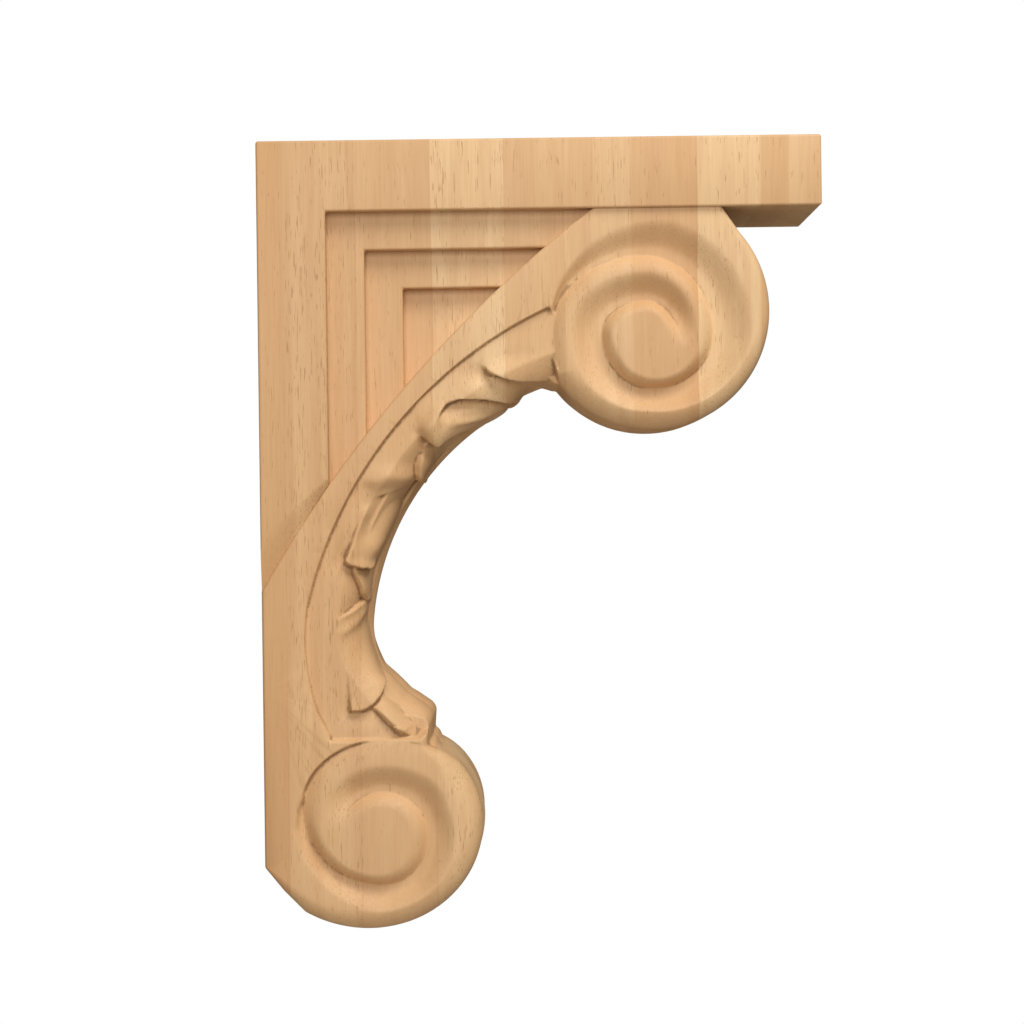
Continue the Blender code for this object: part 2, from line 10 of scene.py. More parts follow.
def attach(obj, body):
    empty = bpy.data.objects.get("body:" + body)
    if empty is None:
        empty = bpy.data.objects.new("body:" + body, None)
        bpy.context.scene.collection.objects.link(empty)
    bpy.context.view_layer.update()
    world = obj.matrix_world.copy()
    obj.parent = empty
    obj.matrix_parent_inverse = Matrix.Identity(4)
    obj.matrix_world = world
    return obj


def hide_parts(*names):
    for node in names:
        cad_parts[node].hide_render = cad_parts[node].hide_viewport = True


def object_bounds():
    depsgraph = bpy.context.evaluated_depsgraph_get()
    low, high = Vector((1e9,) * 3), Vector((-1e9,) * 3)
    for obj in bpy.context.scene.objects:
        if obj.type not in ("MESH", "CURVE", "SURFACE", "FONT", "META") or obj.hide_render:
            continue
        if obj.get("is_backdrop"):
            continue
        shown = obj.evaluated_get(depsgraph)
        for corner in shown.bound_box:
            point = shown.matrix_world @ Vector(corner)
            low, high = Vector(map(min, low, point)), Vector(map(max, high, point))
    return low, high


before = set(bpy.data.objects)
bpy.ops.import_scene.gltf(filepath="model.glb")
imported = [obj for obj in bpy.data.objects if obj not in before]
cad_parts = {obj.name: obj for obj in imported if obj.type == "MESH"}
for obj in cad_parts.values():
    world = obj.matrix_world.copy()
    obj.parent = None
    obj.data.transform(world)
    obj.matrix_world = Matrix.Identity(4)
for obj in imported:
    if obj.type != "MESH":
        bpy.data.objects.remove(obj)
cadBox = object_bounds()
print("frame loaded")

boardSizes = {
    "backLength": 281.5,        # all in millimetres: how far from the wall, to the side, below the top
    "barReach": 219.0,
    "barDepth": 27.4,
    "stileWidth": 26.6,
    "frameHalf": 38.1,
    "bandHalf": 36.0,
    "webHalf": 19.05,
    "panelStep": 14.6,
    "panelLevels": 2,
    "edgeEase": 1.0,
    "lap": 5.0,
    "easeDepth": 4.6,
    "easeWidth": (2.0, 17.0),   # of the eased strip above the band, at its upper end and at the wall
    "easeShallow": 0.45,        # share of the depth that is left at the strip's upper end
    "footRoom": (3.0, 20.0),    # how far the stile and its cutter run on below the band
    "webReach": (150.0, 170.0),
    "webInset": 10.0,
}
bandArc = {"centre": (425.6, 419.7), "radius": 491.2}


def toMetres(points):
    p = np.asarray(points, dtype=float)
    return np.stack([p[:, 0], p[:, 1], boardSizes["backLength"] / 2 - p[:, 2]], axis=1) * 0.001


def addObject(name, data):
    piece = bpy.data.objects.new(name, data)
    bpy.context.scene.collection.objects.link(piece)
    return piece


def meshObject(name, points, faces):
    data = bpy.data.meshes.new(name)
    data.from_pydata(toMetres(points).tolist(), [], [tuple(f) for f in faces])
    bm = bmesh.new()
    bm.from_mesh(data)
    bmesh.ops.recalc_face_normals(bm, faces=bm.faces)
    bm.to_mesh(data)
    bm.free()
    return addObject(name, data)


def loftRings(name, rings):
    rings = np.asarray(rings, dtype=float)
    count, size = rings.shape[0], rings.shape[1]
    faces = []
    for row in range(count - 1):
        for col in range(size):
            nxt = (col + 1) % size
            faces.append((row * size + col, row * size + nxt, (row + 1) * size + nxt, (row + 1) * size + col))
    faces.append(tuple(range(size - 1, -1, -1)))
    faces.append(tuple((count - 1) * size + col for col in range(size)))
    return meshObject(name, rings.reshape(-1, 3), faces)


def bakeModifier(piece, kind, **settings):
    step = piece.modifiers.new(kind.lower(), kind)
    for key, value in settings.items():
        setattr(step, key, value)
    bpy.context.view_layer.update()
    data = bpy.data.meshes.new_from_object(piece.evaluated_get(bpy.context.evaluated_depsgraph_get()))
    piece.modifiers.clear()
    piece.data = data
    return piece


def joinSolid(body, tool, operation):
    bakeModifier(body, "BOOLEAN", operation=operation, solver="MANIFOLD", object=tool)
    bpy.data.objects.remove(tool)


def arcPoints(centre, radius, start, end, step=1.0, growth=0.0):
    count = max(2, int(abs(math.radians(end - start)) * radius / step))
    turn = np.linspace(start, end, count + 1)
    reach = radius - growth * turn
    out, drop = centre[0] + reach * np.cos(np.radians(turn)), centre[1] - reach * np.sin(np.radians(turn))
    return np.stack([out, drop], axis=1)


def smoothStep(t):
    t = np.clip(t, 0.0, 1.0)
    return t * t * (3 - 2 * t)


def bandDrop(out):
    return bandArc["centre"][1] - math.sqrt(bandArc["radius"] ** 2 - (bandArc["centre"][0] - out) ** 2)


def bandReach(drop):
    return bandArc["centre"][0] - math.sqrt(bandArc["radius"] ** 2 - (bandArc["centre"][1] - drop) ** 2)


def bandLine(first, last, inward=0.0, step=1.0):
    centre, radius = bandArc["centre"], bandArc["radius"]
    angles = [180.0 - math.degrees(math.acos((centre[0] - out) / radius)) for out in (first, last)]
    return arcPoints(centre, radius - inward, *angles, step=step)


def board(name, outline, low, high, ease=0.0):
    bm = bmesh.new()
    corners = [bm.verts.new(co) for co in toMetres([(out, low, drop) for out, drop in outline])]
    face = bm.faces.new(corners)
    grown = bmesh.ops.extrude_face_region(bm, geom=[face])
    moved = [v for v in grown["geom"] if isinstance(v, bmesh.types.BMVert)]
    bmesh.ops.translate(bm, verts=moved, vec=(0, (high - low) * 0.001, 0))
    bmesh.ops.recalc_face_normals(bm, faces=bm.faces)
    if ease:
        bmesh.ops.bevel(bm, geom=bm.edges[:], offset=ease * 0.001, segments=3, profile=0.5, affect="EDGES",
                        clamp_overlap=True)
    data = bpy.data.meshes.new(name)
    bm.to_mesh(data)
    bm.free()
    return addObject(name, data)


def frameLevel(name, arm, drop, reach, foot, half):
    outline = [(0, 0), (reach, 0), (reach, drop), (arm, drop), (arm, foot), (0, foot)]
    return board(name, outline, -half, half, boardSizes["edgeEase"])


def easingCutter(side):
    b = boardSizes
    line = bandLine(-b["lap"], b["stileWidth"] + 1.0, step=1.2)
    rings = []
    for index, (out, drop) in enumerate(line):
        share = 1 - index / (len(line) - 1)
        outward = np.array([out - bandArc["centre"][0], drop - bandArc["centre"][1]])
        outward /= np.linalg.norm(outward)
        width = b["easeWidth"][0] + (b["easeWidth"][1] - b["easeWidth"][0]) * share
        deep = b["easeDepth"] * (b["easeShallow"] + (1 - b["easeShallow"]) * share)
        offsets = np.linspace(0, 1, 9)
        profile = [(-0.6, -2.0), (-0.6, deep)] + [(o, deep * (1 - o) ** 1.6) for o in offsets] + [(1.0, -2.0)]
        rings.append([(out + outward[0] * width * o, side * (b["frameHalf"] - down), drop + outward[1] * width * o)
                      for o, down in profile])
    return loftRings("easing", rings)


def buildBoards():
    b = boardSizes
    foot = bandDrop(0.0) + b["footRoom"][0]
    below = foot + b["footRoom"][1]
    body = frameLevel("boards", b["stileWidth"], b["barDepth"], b["barReach"], foot, b["frameHalf"])
    for side in (-1, 1):
        joinSolid(body, easingCutter(side), "DIFFERENCE")
    away = [tuple(p) for p in bandLine(-b["lap"], b["stileWidth"] + b["lap"], step=2.0)]
    away += [(b["stileWidth"] + b["lap"], below), (-b["lap"], below)]
    joinSolid(body, board("stile end", away, -80, 80), "DIFFERENCE")
    drop = (b["frameHalf"] - b["webHalf"]) / (b["panelLevels"] + 1)
    for level in range(b["panelLevels"]):
        arm, low = b["stileWidth"] + b["panelStep"] * level, b["barDepth"] + b["panelStep"] * level
        piece = frameLevel("level", arm + b["panelStep"], low + b["panelStep"], bandReach(low) + b["lap"],
                           bandDrop(arm) + b["lap"], b["frameHalf"] - drop * (level + 1))
        joinSolid(body, insetBoard(piece, b["lap"]), "UNION")      # it starts inside the boards: no doubled outer faces
    edge = bandLine(0.0, bandReach(b["barDepth"]), inward=b["webInset"], step=3.0)[::-1]
    web = [(b["lap"], b["lap"]), (b["webReach"][0], b["lap"])] + [tuple(p) for p in edge]
    web += [(b["lap"], b["webReach"][1])]
    joinSolid(body, board("web", web, -b["webHalf"], b["webHalf"]), "UNION")
    return body


def insetBoard(piece, inner):
    top = boardSizes["backLength"] / 2 * 0.001
    for v in piece.data.vertices:
        v.co.x = max(v.co.x, inner * 0.001)
        v.co.z = min(v.co.z, top - inner * 0.001)
    return piece


print("boards")
boards = buildBoards()

carvingSizes = {
    "upperCentre": (152.9, 67.6), "upperRadius": 45.9, "upperNotch": 217.0,
    "lowerCentre": (49.1, 257.3), "lowerRadius": 35.05, "lowerGrowth": 0.15, "lowerStart": 57.0, "lowerEnd": -129.0,
    "shoulder": (177.0, 41.0), "footCorner": (7.0, 9.4),
    "tipRound": 4.0, "arris": 0.8,
    "upperRims": ((-143, 9.0), (-90, 9.5), (-45, 8.0), (0, 5.5), (41, 2.5)),      # edge rounding by angle
    "lowerRims": ((-122, 7.0), (-90, 9.0), (-30, 10.5), (20, 10.0), (45, 6.0), (57, 4.0)),
    "frontCentre": (146.5, 196.3), "frontRadius": 105.3, "frontAngles": (107.0, 175.0),
    "waistRadius": 26.0, "waistTurn": 46.0, "leafRun": 22.0, "tipRadius": 6.0, "tipLean": 5.0,
    "leafIn": 20.0, "leafAcross": 26.0, "leafSunk": 3.5, "groundDrop": 2.0,
    "leafEnds": (6, 14), "roundRows": 10,      # path steps over which the blank turns into the leaf's section
    "voxel": 0.45,
}


def stepAlong(heading):
    return np.array([math.cos(math.radians(heading)), -math.sin(math.radians(heading))])


def distances(points):
    return np.concatenate([[0], np.cumsum(np.linalg.norm(np.diff(points, axis=0), axis=1))])


def steadyTurns(headings):      # the leaf's tip keeps the direction of the straight run before it
    return np.radians(np.minimum(headings, carvingSizes["frontAngles"][1] + 90 + carvingSizes["waistTurn"]))


def frontPath(step=0.5):
    c = carvingSizes
    first, last = c["frontAngles"]
    spot = arcPoints(c["frontCentre"], c["frontRadius"], first, last)[0]
    heading = first + 90.0
    points, headings = [spot], [heading]
    waist = math.radians(c["waistTurn"])
    moves = ((last - first, c["frontRadius"] * math.radians(last - first)), (c["waistTurn"], c["waistRadius"] * waist),
             (0.0, c["leafRun"]), (c["tipLean"] - c["waistTurn"], c["tipRadius"] * waist))     # turn and length of each
    for turn, length in moves:
        count = max(1, round(length / step))
        for _ in range(count):
            heading += turn / count / 2
            spot = spot + length / count * stepAlong(heading)
            heading += turn / count / 2
            points.append(spot)
            headings.append(heading)
    return np.array(points), np.array(headings)


def inwardNormals(points):
    points = np.asarray(points)
    after, before = np.roll(points, -1, axis=0), np.roll(points, 1, axis=0)
    along = after - before
    along /= np.linalg.norm(along, axis=1)[:, None]
    area = np.sum(points[:, 0] * after[:, 1] - after[:, 0] * points[:, 1])
    return np.stack([-along[:, 1], along[:, 0]], axis=1) * (1 if area > 0 else -1)


def scrollOutlines():
    c = carvingSizes
    upper = arcPoints(c["upperCentre"], c["upperRadius"], c["shoulder"][1], c["upperNotch"] - 360.0)
    lower = arcPoints(c["lowerCentre"], c["lowerRadius"], c["lowerStart"], c["lowerEnd"], growth=c["lowerGrowth"])
    return upper, lower


def carvedBlank():
    c, b = carvingSizes, boardSizes
    upper, lower = scrollOutlines()
    sharp, tip = (c["arris"],) * 2, (c["tipRound"],) * 2
    leaf = (c["leafIn"] - c["leafSunk"], c["leafAcross"] - 2)
    outline = [((c["shoulder"][0], b["barDepth"] - b["lap"]), sharp)]
    turns = np.linspace(c["shoulder"][1], c["upperNotch"] - 360.0, len(upper))
    outline += [(tuple(p), (r, r)) for p, r in zip(upper, np.interp(turns, *zip(*c["upperRims"])))]
    rim = outline[-1][1]
    path, headings = frontPath(1.0)
    for index in range(1, len(path)):
        share = min(1.0, index / c["leafEnds"][0], (len(path) - 1 - index) / c["leafEnds"][1])
        turn = math.radians(min(headings[index], max(c["frontAngles"]) + 90 + c["waistTurn"]))
        inward = np.array([math.sin(turn), math.cos(turn)])
        inward = inward if inward @ (np.array(c["frontCentre"]) - path[index]) < 0 else -inward
        start = rim if index < len(path) / 2 else tip
        edge = tuple(near + (far - near) * share for near, far in zip(start, leaf))
        outline.append((tuple(path[index] + inward * c["leafSunk"] * share), edge))
    turns = np.linspace(c["lowerStart"], c["lowerEnd"], len(lower))
    outline += [(tuple(p), (r, r)) for p, r in zip(lower, np.interp(turns, *zip(*c["lowerRims"])))]
    outline.append(((c["footCorner"][0], b["backLength"] + c["footCorner"][1]), tip))
    outline.append(((0.0, b["backLength"]), sharp))
    outline += [(tuple(p), sharp) for p in bandLine(0.0, bandReach(b["barDepth"] - b["lap"]), step=2.0)]
    points = np.array([p for p, _ in outline])
    rounds = np.array([r for _, r in outline])
    normals = inwardNormals(points)
    rows, rings = c["roundRows"], []
    for side in (-1, 1):
        for row in (range(rows + 1) if side < 0 else range(rows, -1, -1)):
            slope = math.pi / 2 * (1 - row / rows)
            shift = rounds[:, 0] * (1 - math.cos(slope))
            level = b["bandHalf"] - rounds[:, 1] * (1 - math.sin(slope))
            flat = points + normals * shift[:, None]
            rings.append(np.stack([flat[:, 0], side * level, flat[:, 1]], axis=1))
    return loftRings("carving", rings)


voluteShape = {"mostWall": 0.45, "flatFloor": 0.2, "endTurn": 50.0}      # shares of a turn; degrees past its end
upperVolute = {      # turns: outermost points of each quarter turn, from the eye outward
    "turns": ((163.9, 82.3), (150.7, 63.3), (133.5, 76.0), (153.3, 97.3), (176.5, 75.0), (149.5, 45.6), (113.6, 76.0),
              (150.0, 114.6)),
    "eye": (149.5, 79.0), "twist": 1, "depth": (4.4, 5.6), "wall": (4.2, 7.0), "keep": 4.5, "fadeIn": 70.0,
    "fade": ((0, 1.0), (400, 1.0), (480, 0.7), (560, 0.4), (630, 0.0)),      # share of the depth, by degrees
    "reach": ((283, 16.0), (373, 17.0), (463, 15.0), (505, 9.0), (545, 2.0), (650, 0.6)),
}
lowerVolute = {
    "turns": ((29.8, 266.8), (46.2, 253.2), (63.0, 269.5), (45.7, 289.0), (14.9, 258.1), (47.2, 232.6), (80.5, 254.0)),
    "eye": (46.5, 270.5), "twist": -1, "depth": (4.2, 4.2), "wall": (4.2, 12.0), "keep": 6.0, "fadeIn": 60.0,
    "fade": ((0, 1.0), (300, 1.0), (360, 0.75), (420, 0.35), (465, 0.08), (490, 0.0)),
    "reach": ((180, 12.0), (270, 11.0), (360, 5.0), (420, 2.5), (450, 0.8), (600, 0.8)),
}


def spiralLine(turns, steps=24):
    points = []
    for index, (first, last) in enumerate(zip(turns, turns[1:])):
        turn = np.linspace(0, math.pi / 2, steps + 1)[: None if index == len(turns) - 2 else -1]
        lead, lag = np.sin(turn), 1 - np.cos(turn)
        a, b = (lag, lead) if index % 2 == 0 else (lead, lag)
        points.append(np.stack([first[0] + (last[0] - first[0]) * a, first[1] + (last[1] - first[1]) * b], axis=1))
    return np.concatenate(points)


def polar(points, eye, twist):
    away = points - np.array(eye)
    return twist * np.degrees(np.arctan2(-away[:, 1], away[:, 0])), np.linalg.norm(away, axis=1)


def hollowShare(across):
    flat = voluteShape["flatFloor"]
    return 1 - smoothStep((across - flat) / (1 - flat))


def voluteDepth(points, volute, outline):
    v = voluteShape
    angle, radius = polar(spiralLine(volute["turns"]), volute["eye"], volute["twist"])
    angle = np.degrees(np.unwrap(np.radians(angle)))
    start, end = angle[0], angle[-1]
    depth = volute["depth"][0] + (volute["depth"][1] - volute["depth"][0]) * (angle - start) / (end - start)
    depth *= smoothStep((angle - start) / volute["fadeIn"]) * np.interp(angle - start, *zip(*volute["fade"]))
    wall = volute["wall"][0] + (volute["wall"][1] - volute["wall"][0]) * (angle - start) / (end - start)
    rimAngle, rimRadius = polar(outline, volute["eye"], volute["twist"])
    order = np.argsort(rimAngle % 360)
    theta, r = polar(points, volute["eye"], volute["twist"])
    rim = np.interp(theta % 360, (rimAngle % 360)[order], rimRadius[order], period=360) - volute["keep"]
    outer, under = np.interp(end, angle, radius), np.interp(end - 360, angle, radius)
    last = outer - under - min(np.interp(end, angle, wall), v["mostWall"] * (outer - under))
    first = start + (theta - start) % 360
    result = np.zeros(len(points))
    inner = np.interp(first - start, (180, 360), (0, radius[0]))      # radius and depth of the turn just inside
    innerDepth = np.zeros(len(points))
    unfinished = np.ones(len(points), dtype=bool)
    for lap in range(int((end - start) // 360) + 2):
        here = first + 360 * lap
        valid = (here <= end) & unfinished
        line, deep = np.interp(here, angle, radius), np.interp(here, angle, depth)
        width = np.minimum(np.interp(here, angle, wall), v["mostWall"] * (line - inner))
        crest = line - width
        step = deep * np.clip((r - crest) / np.maximum(width, 0.1), 0, 1) ** 2
        channel = innerDepth * hollowShare((r - inner) / np.maximum(crest - inner, 0.1))
        zone = valid & (r <= line) & (r >= inner)
        result = np.where(zone, np.maximum(step, channel), result)
        reach = np.interp(here - 360 - start, *zip(*volute["reach"]))
        reach = np.minimum(reach, np.maximum(rim - inner, 0.6))
        blend = smoothStep((here - end) / v["endTurn"])        # carries on from the last turn's own width
        reach = last + (reach - last) * blend
        outside = unfinished & ~valid & (r >= inner)
        result = np.where(outside, innerDepth * hollowShare((r - inner) / np.maximum(reach, 0.3)), result)
        unfinished = unfinished & valid
        inner, innerDepth = np.where(valid, line, inner), np.where(valid, deep, innerDepth)
    return result


groundEdge = {
    "upper": ((181.9, 219.5), 169.0, 114.0, 166.5),      # centre, radius, first and last angle
    "lower": ((109.9, 193.6), 93.4, 170.0, 202.6),
    "foot": ((25.2, 233.4), (60.0, 233.4), (66.0, 231.0), (95.0, 229.0), (95.0, 150.0)),
    "scroll": ((122.2, 110.0), (118.2, 98.0), (116.0, 91.0), (114.8, 86.0), (113.9, 78.0), (114.2, 68.0)),
    "soft": 0.9, "softEnd": 3.0, "softDrop": (221, 9), "deep": 7.0,
}


def insideDistance(points, outline):
    outline = np.asarray(outline, dtype=float)
    best = np.full(len(points), 1e9)
    inside = np.zeros(len(points), dtype=bool)
    for a, b in zip(outline, np.roll(outline, -1, axis=0)):
        span = b - a
        share = np.clip(((points - a) @ span) / (span @ span), 0, 1)
        best = np.minimum(best, np.linalg.norm(points - a - share[:, None] * span, axis=1))
        if a[1] != b[1]:
            crosses = (points[:, 1] < a[1]) != (points[:, 1] < b[1])
            inside ^= crosses & (points[:, 0] < span[0] * (points[:, 1] - a[1]) / span[1] + a[0])
    return np.where(inside, best, -best)


def groundOutline():
    g = groundEdge
    upper, lower = (arcPoints(*g[name], step=3.0) for name in ("upper", "lower"))
    return [tuple(p) for p in upper] + [tuple(p) for p in lower][1:] + list(g["foot"]) + list(g["scroll"])


flutes = {
    "middle": 15.5, "half": 13.0, "depth": 3.6,
    "upper": (-135.0, 50.0), "lower": (-140.0, 57.0), "fade": 12.0,      # degrees
    "rimFade": (7.0, 6.0),
}


def carveBlank(piece):
    c, b, f = carvingSizes, boardSizes, flutes
    count = len(piece.data.vertices)
    co = np.empty(count * 3)
    piece.data.vertices.foreach_get("co", co)
    co = co.reshape(-1, 3) * 1000
    out, side, drop = co[:, 0], co[:, 1], b["backLength"] / 2 - co[:, 2]
    flat = np.stack([out, drop], axis=1)
    upper, lower = scrollOutlines()
    down = voluteDepth(flat, upperVolute, upper) * (out > 100)
    down = np.maximum(down, voluteDepth(flat, lowerVolute, lower) * (drop > 205))
    ground = insideDistance(flat, groundOutline())
    g = groundEdge
    soft = g["soft"] + g["softEnd"] * smoothStep((drop - g["softDrop"][0]) / g["softDrop"][1])
    down = np.maximum(down, g["deep"] * smoothStep(ground / soft))
    level = np.minimum(np.abs(side), b["bandHalf"] - down)
    # the scrolls' fronts carry two round flutes each
    for centre, radius, growth, (first, last) in ((c["upperCentre"], c["upperRadius"], 0.0, f["upper"]),
                                                  (c["lowerCentre"], c["lowerRadius"], c["lowerGrowth"], f["lower"])):
        away = flat - np.array(centre)
        turn = np.degrees(np.arctan2(-away[:, 1], away[:, 0]))
        r = np.linalg.norm(away, axis=1)
        edge = radius - growth * turn
        lean = np.clip((level - f["middle"]) / f["half"], -1, 1)
        fade = smoothStep((turn - first) / f["fade"]) * smoothStep((last - turn) / f["fade"])
        fade = fade * smoothStep((r - edge + f["rimFade"][0]) / f["rimFade"][1])
        deep = f["depth"] * (1 - lean ** 2) * fade
        flat = flat - away / np.maximum(r, 1.0)[:, None] * deep[:, None]
    side = np.sign(side) * level
    co = np.stack([flat[:, 0], side, flat[:, 1]], axis=1)
    piece.data.vertices.foreach_set("co", toMetres(co).reshape(-1))
    piece.data.update()


print("carving blank")
voxel = carvingSizes["voxel"] * 1.0 * 0.001
carving = bakeModifier(carvedBlank(), "REMESH", mode="VOXEL", voxel_size=voxel)
carveBlank(carving)

leafShape = {
    "step": 0.5,
    "limits": ((0, 64), (25, 57), (45, 50), (110, 50), (135, 60)),      # how far round the sheet goes, along the leaf
    "thickness": 6.5, "sink": 9.0,
    "endDive": 1.1, "diveStart": ((20, 3.5), (45, 7.5)), "tailStart": ((20, 0.5), (38, 5.5)),      # by distance round
    "lipWidth": 0.7, "plainFront": 2.0, "frontFade": 5.0, "slopeSamples": 21,
    "cutStep": 0.8, "cutReach": 2.5, "cutFall": 1.4, "cutBlend": (0.5, 0.25), "cutEnd": 2.0,
    "frontSunk": 2.2, "frontBlend": (12, 20),      # the front lies below the outline that the midrib reaches
}
leafCuts = {      # each cut: kind, sizes in mm, then (out from the wall, below the top, strength) along it
    "ledge": ("step", (2.4, 8, 3.6, 7),
        ((85.8, 87.9, 0), (87.9, 89, 0.5), (88.9, 90.3, 0.8), (91.4, 91.6, 0.9), (96.2, 92.5, 1), (102, 92.9, 1),
         (107.8, 92.8, 0.95), (111.9, 92.8, 0.75), (116, 92.6, 0.5), (120.6, 92.4, 0.2), (126.4, 92.2, 0))),
    "ledge top": ("valley", (0.6, 3.5),
        ((85.8, 87.4, 0), (90.5, 85.4, 0.5), (97.5, 84.6, 0.9), (106.8, 84.2, 0.6), (113.8, 84.1, 0))),
    "saddle": ("ridge", (1.2, 5),
        ((76.4, 99.9, 0), (83.4, 97.9, 0.8), (91.5, 98.4, 1), (99.6, 99.9, 0.8), (107.7, 100.3, 0))),
    "cup rim": ("step", (1, 7, 3.8, 8),
        ((68.3, 109.7, 0), (70, 106.2, 0.5), (72.8, 102.6, 0.9), (77.5, 100.9, 1), (85.7, 100.3, 1),
         (92.6, 100.8, 1), (98.4, 101.4, 0.9), (104.2, 102.1, 0.4), (111.2, 102.7, 0))),
    "cup ridge one": ("ridge", (1.7, 1.4),
        ((69.8, 110.7, 0), (76.3, 108.2, 0.8), (83.3, 106.6, 1), (92.6, 104.7, 1), (99.6, 103.2, 0.8),
         (105.4, 102.1, 0))),
    "cup ridge two": ("ridge", (1.4, 1.2),
        ((72.2, 108.4, 0), (77.5, 105.5, 0.8), (84.5, 103.9, 1), (92.6, 103, 0.8), (99.6, 102.3, 0))),
    "cup left": ("ridge", (1.9, 2.6),
        ((73.8, 101.7, 0), (69.8, 105.4, 0.7), (66.9, 109.3, 1), (65.7, 112.9, 1), (66.2, 116.6, 0.8),
         (68, 119.3, 0))),
    "cup band": ("ridge", (1.9, 3.8),
        ((65.5, 117.2, 0), (69.2, 113.5, 0.8), (74.1, 110.3, 1), (80, 108.1, 1), (87, 106.2, 1),
         (95.2, 103.4, 0.7), (102.5, 100.5, 0))),
    "cup lip": ("step", (2.1, 6, 2.6, 4),
        ((62.8, 113.9, 0), (65, 116.7, 0.7), (67.3, 118.4, 1), (71.1, 115.6, 1), (76.2, 112.9, 1), (82, 110.8, 1),
         (89.1, 107.8, 1), (96.1, 104.2, 0.8), (101.9, 101.3, 0.3), (106.6, 98.9, 0))),
    "pinch": ("valley", (1.4, 1.8),
        ((59.9, 111.3, 0), (62.2, 114.3, 0.8), (64.5, 117.4, 1), (66.8, 119, 0.5), (68.7, 119.8, 0))),
    "leaflet": ("step", (1.7, 7, 1.8, 4),
        ((64.7, 120.9, 0), (62.1, 122.5, 0.7), (60.5, 125.8, 1), (59.8, 129.4, 1), (60.6, 131.8, 0.9),
         (62.5, 132.9, 0.5), (64.9, 133.7, 0.1), (67.8, 134.2, 0))),
    "leaflet crest": ("ridge", (1, 3.6),
        ((67.4, 120.5, 0), (65, 123.6, 0.7), (63.3, 127.6, 1), (62.9, 130.9, 0.5), (63.4, 133.2, 0))),
    "third ridge": ("ridge", (2.1, 3.8),
        ((39.9, 135, 0), (44, 132.7, 0.8), (48.6, 131.1, 1), (55, 131.2, 1), (60.3, 130.5, 0.8), (64.4, 128.3, 0))),
    "third crease": ("step", (1.2, 5, 1, 3),
        ((44.5, 139.4, 0), (49.1, 138, 0.7), (55, 136.4, 1), (60.8, 133.8, 1), (65.5, 131.4, 0))),
    "third hollow": ("valley", (1.9, 5.5),
        ((40.3, 145.3, 0), (41.2, 140.7, 0.8), (43.9, 136.7, 1), (50.4, 134.2, 0.9), (56.2, 133.6, 0.5),
         (60.8, 132.2, 0))),
    "finger": ("step", (2.3, 6, 1.6, 4.5),
        ((44.5, 136.1, 0), (41.9, 140.7, 0.1), (39.5, 145.9, 0.2), (36.9, 151.7, 0.3), (34.5, 157.4, 0.5),
         (32.6, 161.8, 1), (32.3, 163.2, 1), (33.9, 164.6, 1), (37.2, 165.6, 1), (41.2, 166, 1), (43.2, 165, 0.6),
         (44.9, 161.7, 0))),
    "finger valley": ("valley", (2.6, 4.6),
        ((39.3, 159.3, 0), (41.7, 153.5, 0.7), (44.4, 148.5, 1), (48.5, 143.5, 1), (54.4, 139.3, 1),
         (60.8, 134.8, 0.8), (66.7, 130, 0))),
    "finger ridge": ("ridge", (1.6, 3.6),
        ((41.4, 164.5, 0), (43.8, 159, 0.8), (47.2, 152.4, 1), (51.1, 145.8, 1), (55.9, 140.3, 0.8),
         (62, 134.3, 0))),
    "under": ("step", (1.4, 4, 1.2, 3),
        ((35.5, 164.4, 0), (36.4, 167.7, 0.8), (37.3, 171.2, 1), (38.7, 175.9, 1), (40.3, 178.2, 0.9),
         (42.2, 179.6, 0))),
    "tongue fold one": ("step", (1.2, 3, 0.9, 2.5),
        ((41.9, 177.5, 0), (39.8, 178.9, 0.8), (36.7, 180.5, 1), (32.3, 183.6, 0.7), (28.8, 185.9, 0))),
    "tongue fold two": ("ridge", (1, 1.8),
        ((41.4, 180.8, 0), (38.7, 183.7, 1), (35.1, 187.7, 1), (31.6, 190.5, 0.8), (28.7, 192.8, 0))),
    "tongue": ("step", (2.1, 8, 1.6, 4),
        ((31, 191.7, 0), (32.1, 196.9, 0.1), (32.7, 203.9, 0.15), (33.1, 210.9, 0.25), (33.5, 217.3, 0.45),
         (34.1, 221.1, 1), (36.7, 221.4, 1), (39.2, 220.9, 1), (42.3, 219.2, 1), (44.6, 216.6, 1),
         (46.2, 213.2, 1), (46.8, 209.3, 0.5), (46.4, 204.7, 0))),
    "tongue ridge": ("ridge", (1.5, 4.5),
        ((40.4, 185.4, 0), (40.9, 191.2, 0.7), (41.4, 199.4, 1), (42.2, 207.5, 1), (42.9, 213.4, 0.8),
         (42.3, 217.4, 0))),
    "spur": ("step", (2.4, 6, 1.4, 4),
        ((42, 219.4, 0), (44.6, 221.9, 0.7), (48, 225.7, 1), (52, 229.3, 1), (56.3, 231.9, 1), (60.7, 233.6, 0.9),
         (64.2, 234.8, 0.5), (66.7, 235.7, 0))),
    "spur side": ("valley", (1.2, 2.4),
        ((46.1, 211.1, 0), (48.1, 214.6, 0.8), (52.2, 218.5, 1), (56.4, 222.8, 0.8), (59.6, 226.6, 0.3),
         (61.9, 228.7, 0))),
}


def cutProfile(kind, sizes, away, strength):
    if kind == "ridge":
        return sizes[0] * strength * np.exp(-(away / sizes[1]) ** 2)
    if kind == "valley":
        return -sizes[0] * strength * np.exp(-(away / sizes[1]) ** 2)
    high, highRun, low, lowRun = sizes
    fall = leafShape["cutFall"]
    above = high * np.exp(-(np.maximum(away, 0) / highRun) ** fall)
    below = -low * np.exp(-(np.maximum(-away, 0) / lowRun) ** fall)
    return strength * (below + (above - below) * smoothStep(away / leafShape["lipWidth"] + 0.5))


